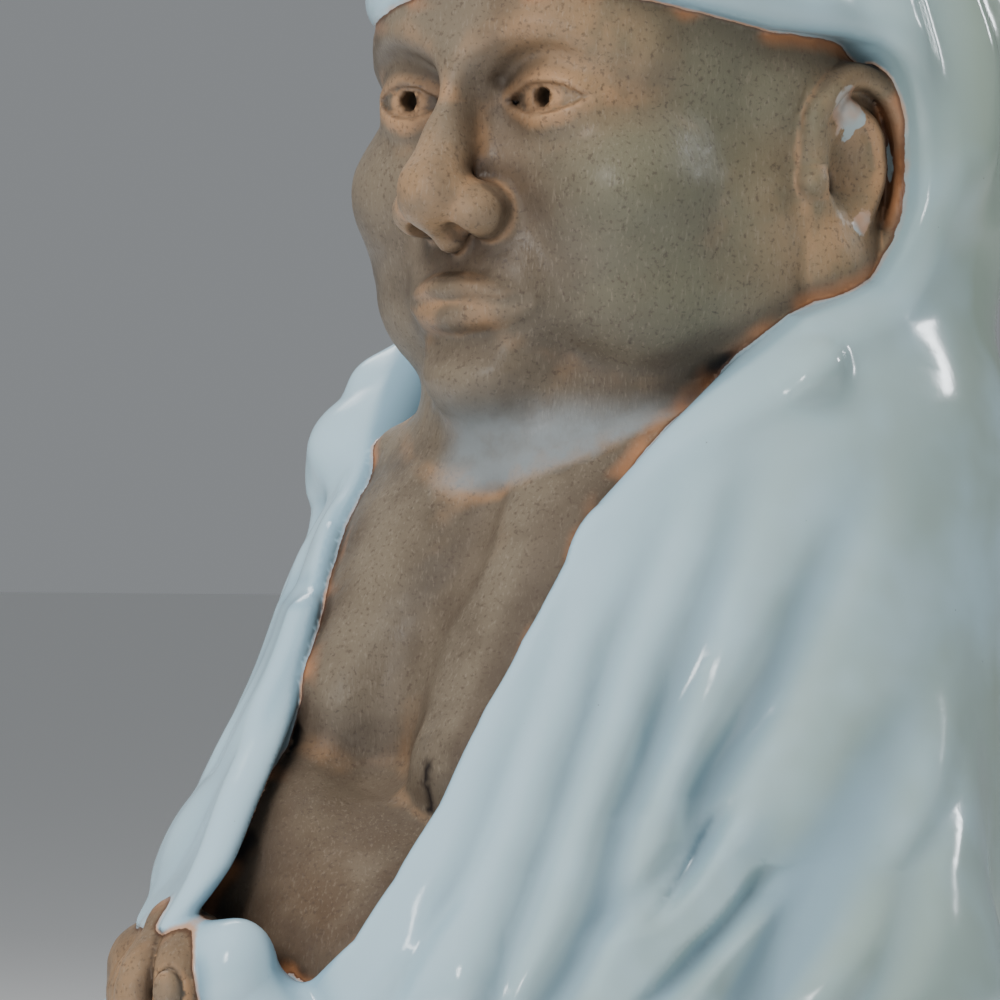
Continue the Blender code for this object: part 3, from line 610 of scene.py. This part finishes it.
def surface_net(low, high):
    """Vertices and quads of the figure's surface: a vertex in each crossed cell."""
    low = low - CELL
    cells = cells_near_surface(low + CELL, high) + 1
    keys, corners = np.unique(cell_keys(cells[:, None] + CORNERS), return_inverse=True)
    corners = corners.reshape(-1, 8)
    grid = np.stack([keys >> 42, keys >> 21 & 0x1FFFFF, keys & 0x1FFFFF], 1)
    values = fill_pinches(figure(low + grid * CELL), corners)[corners]
    inside = values < 0
    crossed = inside.any(1) & ~inside.all(1)
    cells, values, inside = cells[crossed], values[crossed], inside[crossed]
    total = np.zeros((len(cells), 3))
    crossings = np.zeros(len(cells))
    for a, b in CELL_EDGES:
        crosses = inside[:, a] != inside[:, b]
        share = values[:, a] / np.where(crosses, values[:, a] - values[:, b], 1)
        total += crosses[:, None] * (CORNERS[a] + share[:, None] * (CORNERS[b] - CORNERS[a]))
        crossings += crosses
    vertices = low + (cells + total / crossings[:, None]) * CELL
    return vertices, net_quads(cells, inside)


def net_quads(cells, inside):
    """One outward quad round each cell edge that the surface crosses."""
    own = cell_keys(cells)
    order = np.argsort(own)
    quads = []
    for axis in range(3):
        crosses = inside[:, 0] != inside[:, 1 << axis]
        u, v = np.roll(np.eye(3, dtype=int), -1 - axis, 0)[:2]
        ring = [cells[crosses] - step for step in (0 * u, u, u + v, v)]
        quad = np.stack([order[np.searchsorted(own, cell_keys(c), sorter=order)] for c in ring], 1)
        outward = inside[crosses, 0]
        quads.append(np.where(outward[:, None], quad, quad[:, ::-1]))
    return np.concatenate(quads)


def outer_skin(vertices, quads):
    """The largest joined surface, without the small sealed voids left where masses meet."""
    group = np.arange(len(vertices))
    while (group[quads] != group[quads[:, :1]]).any():
        np.minimum.at(group, quads, group[quads].min(1)[:, None])
        group = group[group]
    kept = group == np.bincount(group).argmax()
    place = np.cumsum(kept) - 1
    return vertices[kept], place[quads[kept[quads[:, 0]]]]


def slope(points, step):
    """Gradient of the distance, which points straight out of the surface."""
    steps = np.eye(3) * step
    return np.stack([figure(points + s) - figure(points - s) for s in steps], 1) / (2 * step)


def settle(points, limit):
    """Moves points onto the surface, by limit at most."""
    gradient = slope(points, limit * 0.6)
    move = figure(points)[:, None] * gradient / np.maximum((gradient**2).sum(1), 0.2)[:, None]
    return points - np.clip(move, -limit, limit)


def to_world(points):
    _, front, back = plinth_reach()
    x, f, h = points.T
    return np.stack([x * SHARE, ((front + back) / 2 - f) * SHARE, h * SHARE + PLINTH_HEIGHT], 1)


def from_world(points):
    _, front, back = plinth_reach()
    x, y, z = points.T / SHARE
    return np.stack([x, (front + back) / 2 - y, z - PLINTH_HEIGHT / SHARE], 1)


def thinned_mesh():
    """The surface, thinned where it is plain, as a mesh in world space."""
    half_width, front, back = plinth_reach()
    edge = 4 * CELL
    low = np.array([-half_width - edge, back - edge, -PLINTH_HEIGHT / SHARE - edge])
    high = np.array([half_width + edge, front + edge, SHARES + edge])
    vertices, quads = outer_skin(*surface_net(low, high))
    rough = bpy.data.meshes.new("rough")
    rough.from_pydata(to_world(vertices), [], quads[:, ::-1])
    holder = bpy.data.objects.new("rough", rough)
    bpy.context.scene.collection.objects.link(holder)
    thin = holder.modifiers.new("thin", "DECIMATE")
    thin.ratio = min(1, TRIANGLES / (2 * len(quads)))
    depsgraph = bpy.context.evaluated_depsgraph_get()
    mesh = bpy.data.meshes.new_from_object(holder.evaluated_get(depsgraph))
    bpy.data.objects.remove(holder)
    bpy.data.meshes.remove(rough)
    return mesh


def set_attribute(mesh, name, values):
    attribute = mesh.attributes.new(name, "FLOAT", "POINT")
    attribute.data.foreach_set("value", np.ascontiguousarray(values, np.float32))


def spot(q, centre, radii):
    """1 at a centre, fading to 0 past radii."""
    return np.exp(-sum(((q[i] - centre[i]) / radii[i])**2 for i in range(3)))


def finish_marks(mesh, points, normals):
    """What the finish depends on, kept at each vertex."""
    q = columns(points)
    bare = np.minimum(skin(q), plinth(q))
    set_attribute(mesh, "glaze_edge", bare - robe(q))
    set_attribute(mesh, "crevice", 1 - figure(points + normals * CREVICE_REACH) / CREVICE_REACH)
    set_attribute(mesh, "shelter", 1 - figure(points + normals * SHELTER_REACH) / SHELTER_REACH)
    set_attribute(mesh, "crest", 1 + figure(points - normals * CREST_REACH) / CREST_REACH)
    crease = 161.5 + 9 * (q[0] / 25)**2
    neck_band = ramp(q[2] - crease, -1, 2) * (1 - ramp(q[2], 172, 180)) * ramp(q[1], 5, 16)
    neck_band = neck_band * ramp(q[0], -10, -1)
    set_attribute(mesh, "neck_band", neck_band)
    ear_glaze = spot(q, (45, -6, 226), (6, 4.5, 6)) + 0.8 * spot(q, (46, -9, 208), (5, 3.4, 3.4))
    set_attribute(mesh, "ear_glaze", ear_glaze)
    set_attribute(mesh, "ragged", spot(q, (8, 96, 83), (8.5, 14, 8)))
    set_attribute(mesh, "side", ramp(q[0], 20, 70) + ramp(-q[1], 10, 50))
    set_attribute(mesh, "olive", ramp(q[0], 8, 36) * ramp(q[2], 176, 196))
    set_attribute(mesh, "valley", -long_folds(q))
    # Painted warm highlight at the raised places listed above
    painted_highlight = [spot(q, centre, (reach, reach, reach)) for reach, centre in HIGHLIGHT_PLACES]
    set_attribute(mesh, "painted_highlight", np.maximum.reduce(painted_highlight))
    # A darker, browner patch over the belly
    set_attribute(mesh, "darker_belly", spot(q, DARKER_BELLY_CENTRE, (34, 26, 22)))
    set_attribute(mesh, "kiln_mark", ramp(limb(q, *KILN_MARK, 0.7, 0.9), 0.6, -0.3))


def build_figure():
    mesh = thinned_mesh()
    mesh.name = "daruma_casting"
    flat = np.empty(len(mesh.vertices) * 3)
    mesh.vertices.foreach_get("co", flat)
    points = settle(settle(from_world(flat.reshape(-1, 3)), 0.4), 0.3)
    mesh.vertices.foreach_set("co", to_world(points).ravel())
    normals = slope(points, 0.25)
    normals /= np.linalg.norm(normals, axis=1)[:, None]
    finish_marks(mesh, points, normals)
    mesh.shade_smooth()
    mesh.normals_split_custom_set_from_vertices(normals * (1, -1, 1))
    mesh.materials.clear()
    mesh.materials.append(casting_material())
    casting = bpy.data.objects.new("daruma_casting", mesh)
    bpy.context.scene.collection.objects.link(casting)
    return casting


def wire(tree, kind, inputs, **settings):
    """A node with its settings, and each input set to a value or joined to a socket."""
    node = tree.nodes.new(kind)
    for name, value in settings.items():
        setattr(node, name, value)
    for name, value in inputs.items():
        if isinstance(value, bpy.types.NodeSocket):
            tree.links.new(value, node.inputs[name])
        else:
            node.inputs[name].default_value = value
    return node


def mark(tree, name):
    return wire(tree, "ShaderNodeAttribute", {}, attribute_name=name).outputs["Fac"]


def noise(tree, spacing, detail=3.0, vector=None, roughness=0.55):
    """Cloudy pattern with features about spacing metres apart."""
    if vector is None:
        vector = wire(tree, "ShaderNodeTexCoord", {}).outputs["Object"]
    inputs = {"Vector": vector, "Scale": 1 / spacing, "Detail": detail, "Roughness": roughness}
    return wire(tree, "ShaderNodeTexNoise", inputs).outputs["Fac"]


def fade(tree, value, start, end, low=0.0, high=1.0):
    """low up to start, rising smoothly to high at end."""
    inputs = {"Value": value, "From Min": start, "From Max": end, "To Min": low, "To Max": high}
    node = wire(tree, "ShaderNodeMapRange", inputs, interpolation_type="SMOOTHSTEP")
    return node.outputs["Result"]


def calc(tree, operation, a, b=0.0):
    return wire(tree, "ShaderNodeMath", {0: a, 1: b}, operation=operation).outputs[0]


def blend(tree, factor, a, b):
    node = wire(tree, "ShaderNodeMix", {0: factor, 6: a, 7: b}, data_type="RGBA")
    return node.outputs[2]


def colour(red, green, blue):
    """A colour given as it looks on screen, from 0 to 255."""
    return (*[(c / 255)**2.2 for c in (red, green, blue)], 1.0)


def patchy(tree, factor, spacing, low, high, detail=4.0):
    """factor times a cloudy pattern that runs from low to high."""
    clouds = fade(tree, noise(tree, spacing, detail), 0.3, 0.6, low, high)
    return calc(tree, "MULTIPLY", factor, clouds)


def speckles(tree, spacing, radius, share):
    """1 in small round dots, in a share of the cells of a grid spacing metres wide."""
    place = wire(tree, "ShaderNodeTexCoord", {}).outputs["Object"]
    cells = wire(tree, "ShaderNodeTexVoronoi", {"Vector": place, "Scale": 1 / spacing})
    picked = fade(tree, cells.outputs["Color"], 1 - share - 0.01, 1 - share + 0.01)
    dot = fade(tree, cells.outputs["Distance"], radius / spacing, 0.5 * radius / spacing)
    return calc(tree, "MULTIPLY", dot, picked)


def relief(tree, *patterns):
    """Sum of patterns, each times its height in metres."""
    total = 0.0
    for pattern, height in patterns:
        total = calc(tree, "ADD", calc(tree, "MULTIPLY", pattern, height), total)
    return total


def glaze_shader(tree, edge):
    """Thick pale celadon glaze: bluer where it pools, darker and bluer in the fold valleys as painted shade
    and pooled glaze, warmer where it is thin, with pinholes.
    """
    pool = fade(tree, mark(tree, "shelter"), 0.02, 0.5)
    cloud = noise(tree, 0.035)
    greenish = calc(tree, "MULTIPLY", mark(tree, "side"), fade(tree, cloud, 0.25, 0.6, 0.25, 0.8))
    tone = blend(tree, pool, colour(171, 199, 211), colour(136, 168, 185))
    tone = blend(tree, greenish, tone, colour(142, 158, 146))
    # Painted shade in the fold valleys, also standing for glaze pooled there
    tone = blend(tree, fade(tree, mark(tree, "valley"), 0.1, 2.6, 0, 0.8), tone, colour(128, 154, 168))
    tone = blend(tree, fade(tree, mark(tree, "crevice"), 0.3, 0.95, 0, 0.5), tone, colour(112, 134, 142))
    pinholes = speckles(tree, 0.0042, 0.00016, 0.3)
    specks = speckles(tree, 0.013, 0.00022, 0.4)
    dots = calc(tree, "MULTIPLY", calc(tree, "MAXIMUM", pinholes, specks), 0.6)
    tone = blend(tree, dots, tone, colour(92, 76, 62))
    bare_patches = fade(tree, noise(tree, 0.014), 0.4, 0.6, 0.15, 0.9)
    rim = calc(tree, "MULTIPLY", fade(tree, edge, 0.9, 0.1), bare_patches)
    tone = blend(tree, rim, tone, colour(186, 142, 110))
    waves = noise(tree, 0.016, 1.0)
    peel = noise(tree, 0.0011, 2.0)
    height = relief(tree, (waves, 0.0001), (peel, 0.000022), (pinholes, -0.00006))
    bump = wire(tree, "ShaderNodeBump", {"Height": height, "Distance": 1.0, "Strength": 0.6})
    gloss = fade(tree, noise(tree, 0.02), 0.3, 0.7, 0.12, 0.2)
    inputs = {"Base Color": tone, "Roughness": gloss, "Normal": bump.outputs[0]}
    shader = wire(tree, "ShaderNodeBsdfPrincipled", inputs)
    shader.inputs["IOR"].default_value = 1.5
    shader.inputs["Subsurface Weight"].default_value = 0.12
    shader.inputs["Subsurface Radius"].default_value = (0.9, 1.0, 1.0)
    shader.inputs["Subsurface Scale"].default_value = 0.002
    return shader.outputs[0]


def biscuit_shader(tree, edge):
    """Bare fired clay: brown-grey, with a painted warm highlight on its crests and painted shade with some
    grime in its hollows.
    """
    cloud = noise(tree, 0.024, 4.0)
    grain = noise(tree, 0.0008, 3.0)
    place = wire(tree, "ShaderNodeTexCoord", {}).outputs["Object"]
    turned = {"Vector": place, "Rotation": (0.5, 0.2, 0.9), "Scale": (1.0, 1.0, 0.3)}
    stretch = wire(tree, "ShaderNodeMapping", turned)
    brushed = noise(tree, 0.0005, 2.0, stretch.outputs[0])
    turned = {"Vector": place, "Rotation": (0.9, 0.7, 0.2), "Scale": (1.0, 0.14, 1.0)}
    scratched = noise(tree, 0.0009, 1.0, wire(tree, "ShaderNodeMapping", turned).outputs[0])
    # Painted warm highlight on the crests, broken up by a cloud
    crest_highlight = calc(tree, "ADD", mark(tree, "crest"), calc(tree, "MULTIPLY", noise(tree, 0.011, 4.0), 0.5))
    tone = blend(tree, fade(tree, cloud, 0.36, 0.62), colour(88, 78, 66), colour(112, 101, 86))
    tone = blend(tree, patchy(tree, mark(tree, "side"), 0.03, 0.3, 0.9, 3.0), tone, colour(105, 102, 81))
    tone = blend(tree, patchy(tree, mark(tree, "olive"), 0.02, 0.4, 0.9), tone, colour(106, 104, 86))
    # Painted warm highlight on the nose tip, brow, ear and hand
    tone = blend(tree, patchy(tree, mark(tree, "painted_highlight"), 0.009, 0.3, 0.85), tone, colour(160, 126, 92))
    # Darker, browner patches over the belly
    tone = blend(tree, patchy(tree, mark(tree, "darker_belly"), 0.007, 0.4, 0.95), tone, colour(82, 66, 52))
    tone = blend(tree, fade(tree, crest_highlight, 0.46, 0.9, 0, 0.7), tone, colour(176, 134, 96))
    # Pale specks along the brushed grain: grain, and painted sparkle
    tone = blend(tree, fade(tree, brushed, 0.54, 0.72, 0, 0.16), tone, colour(170, 156, 138))
    tone = blend(tree, fade(tree, grain, 0.46, 0.3, 0, 0.55), tone, colour(70, 58, 50))
    tone = blend(tree, fade(tree, scratched, 0.28, 0.2, 0, 0.4), tone, colour(50, 40, 36))
    # Painted shade with some grime: darker in sheltered places, darker still in crevices
    shelter = fade(tree, mark(tree, "shelter"), 0.12, 0.7, 0, 0.6)
    tone = blend(tree, shelter, tone, colour(76, 64, 54))
    tone = blend(tree, fade(tree, mark(tree, "crevice"), 0.3, 0.85, 0, 0.6), tone, colour(52, 42, 35))
    # Painted shadow: near black inside the drilled pupils and other deep holes
    drilled = calc(tree, "MULTIPLY", fade(tree, mark(tree, "shelter"), 0.9, 1.0), mark(tree, "crevice"))
    tone = blend(tree, drilled, tone, colour(18, 14, 13))
    smudge = fade(tree, noise(tree, 0.006, 4.0), 0.35, 0.6, 0.72, 1.0)
    tone = blend(tree, calc(tree, "MULTIPLY", mark(tree, "neck_band"), smudge), tone, colour(122, 127, 128))
    iron = speckles(tree, 0.0052, 0.00014, 0.3)
    tone = blend(tree, calc(tree, "MULTIPLY", iron, 0.5), tone, colour(44, 34, 28))
    patch = fade(tree, noise(tree, 0.016, 2.0), 0.46, 0.64)
    near_edge = calc(tree, "MULTIPLY", fade(tree, edge, -3.2, -0.3), patch)
    tone = blend(tree, calc(tree, "MULTIPLY", near_edge, 0.7), tone, colour(178, 120, 80))
    tone = blend(tree, fade(tree, edge, -0.7, -0.1, 0, 0.7), tone, colour(70, 44, 32))
    tone = blend(tree, mark(tree, "kiln_mark"), tone, colour(30, 22, 20))
    height = relief(tree, (brushed, 0.00008), (grain, 0.00006), (iron, -0.00005))
    bump = wire(tree, "ShaderNodeBump", {"Height": height, "Distance": 1.0, "Strength": 0.8})
    roughness = fade(tree, noise(tree, 0.008, 4.0), 0.42, 0.68, 0.56, 0.36)
    inputs = {"Base Color": tone, "Roughness": roughness, "Normal": bump.outputs[0]}
    shader = wire(tree, "ShaderNodeBsdfPrincipled", inputs)
    shader.inputs["IOR"].default_value = 1.46
    return shader.outputs[0]


def casting_material():
    material = bpy.data.materials.new("glazed_porcelain")
    material.use_nodes = True
    tree = material.node_tree
    tree.nodes.clear()
    wander = calc(tree, "SUBTRACT", noise(tree, 0.004, 4.0), 0.5)
    strength = fade(tree, mark(tree, "ragged"), 0.0, 0.8, 0.9, 9.0)
    edge = calc(tree, "ADD", mark(tree, "glaze_edge"), calc(tree, "MULTIPLY", wander, strength))
    splash = fade(tree, calc(tree, "MULTIPLY", mark(tree, "ear_glaze"), noise(tree, 0.004, 3.0)), 0.26, 0.3)
    glazed = calc(tree, "MAXIMUM", fade(tree, edge, -0.06, 0.06), splash)
    finishes = {0: glazed, 1: biscuit_shader(tree, edge), 2: glaze_shader(tree, edge)}
    mix = wire(tree, "ShaderNodeMixShader", finishes)
    wire(tree, "ShaderNodeOutputMaterial", {"Surface": mix.outputs[0]})
    return material


def build_floor():
    half = FLOOR_WIDTH / 2
    corners = [(-half, -half, 0), (half, -half, 0), (half, half, 0), (-half, half, 0)]
    mesh = bpy.data.meshes.new("floor")
    mesh.from_pydata(corners, [], [(0, 1, 2, 3)])
    material = bpy.data.materials.new("pale_floor")
    material.use_nodes = True
    shader = material.node_tree.nodes["Principled BSDF"]
    shader.inputs["Base Color"].default_value = (0.88, 0.88, 0.87, 1)
    shader.inputs["Roughness"].default_value = 0.85
    mesh.materials.append(material)
    floor = bpy.data.objects.new("floor", mesh)
    bpy.context.scene.collection.objects.link(floor)


def add_light(name, turn, rise, distance, width, height, power, tint=(1, 1, 1)):
    """A soft panel round the figure: turn as the camera's, rise above level, both in degrees."""
    a, e = math.radians(turn), math.radians(rise)
    away = Vector((math.sin(a) * math.cos(e), -math.cos(a) * math.cos(e), math.sin(e)))
    light = bpy.data.lights.new(name, "AREA")
    light.shape = "RECTANGLE"
    light.size = width
    light.size_y = height
    light.energy = power
    light.color = tint
    lamp = bpy.data.objects.new(name, light)
    lamp.location = Vector((0, 0, 0.18)) + away * distance
    lamp.rotation_mode = "QUATERNION"
    lamp.rotation_quaternion = (-away).to_track_quat("-Z", "Y")
    bpy.context.scene.collection.objects.link(lamp)
    return lamp


def build_lights():
    world = bpy.data.worlds.new("studio")
    world.use_nodes = True
    background = world.node_tree.nodes["Background"]
    background.inputs["Color"].default_value = (0.80, 0.84, 0.88, 1)
    background.inputs["Strength"].default_value = 0.3
    bpy.context.scene.world = world
    key = add_light("key", 0, 55, 1.3, 0.9, 0.9, 22)
    key.visible_glossy = False
    add_light("glint", 16, 18, 1.2, 0.16, 0.24, 3.2)
    add_light("window", 144, 28, 1.2, 0.12, 0.22, 4, (0.92, 0.96, 1.0))
    add_light("back", 235, 45, 1.4, 0.6, 0.6, 6)


def build_camera():
    away = Vector((math.sin(CAMERA_TURN), -math.cos(CAMERA_TURN), 0))
    camera = bpy.data.objects.new("camera", bpy.data.cameras.new("camera"))
    camera.data.sensor_width = SENSOR_WIDTH
    camera.data.lens = SENSOR_WIDTH * CAMERA_DISTANCE / VIEW_WIDTH
    camera.data.clip_end = 100
    camera.location = VIEW_CENTRE + away * CAMERA_DISTANCE
    camera.rotation_mode = "QUATERNION"
    camera.rotation_quaternion = (-away).to_track_quat("-Z", "Y")
    bpy.context.scene.collection.objects.link(camera)
    bpy.context.scene.camera = camera


casting = build_figure()
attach(casting, "root")
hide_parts("daruma_figure")
build_floor()
build_lights()
build_camera()
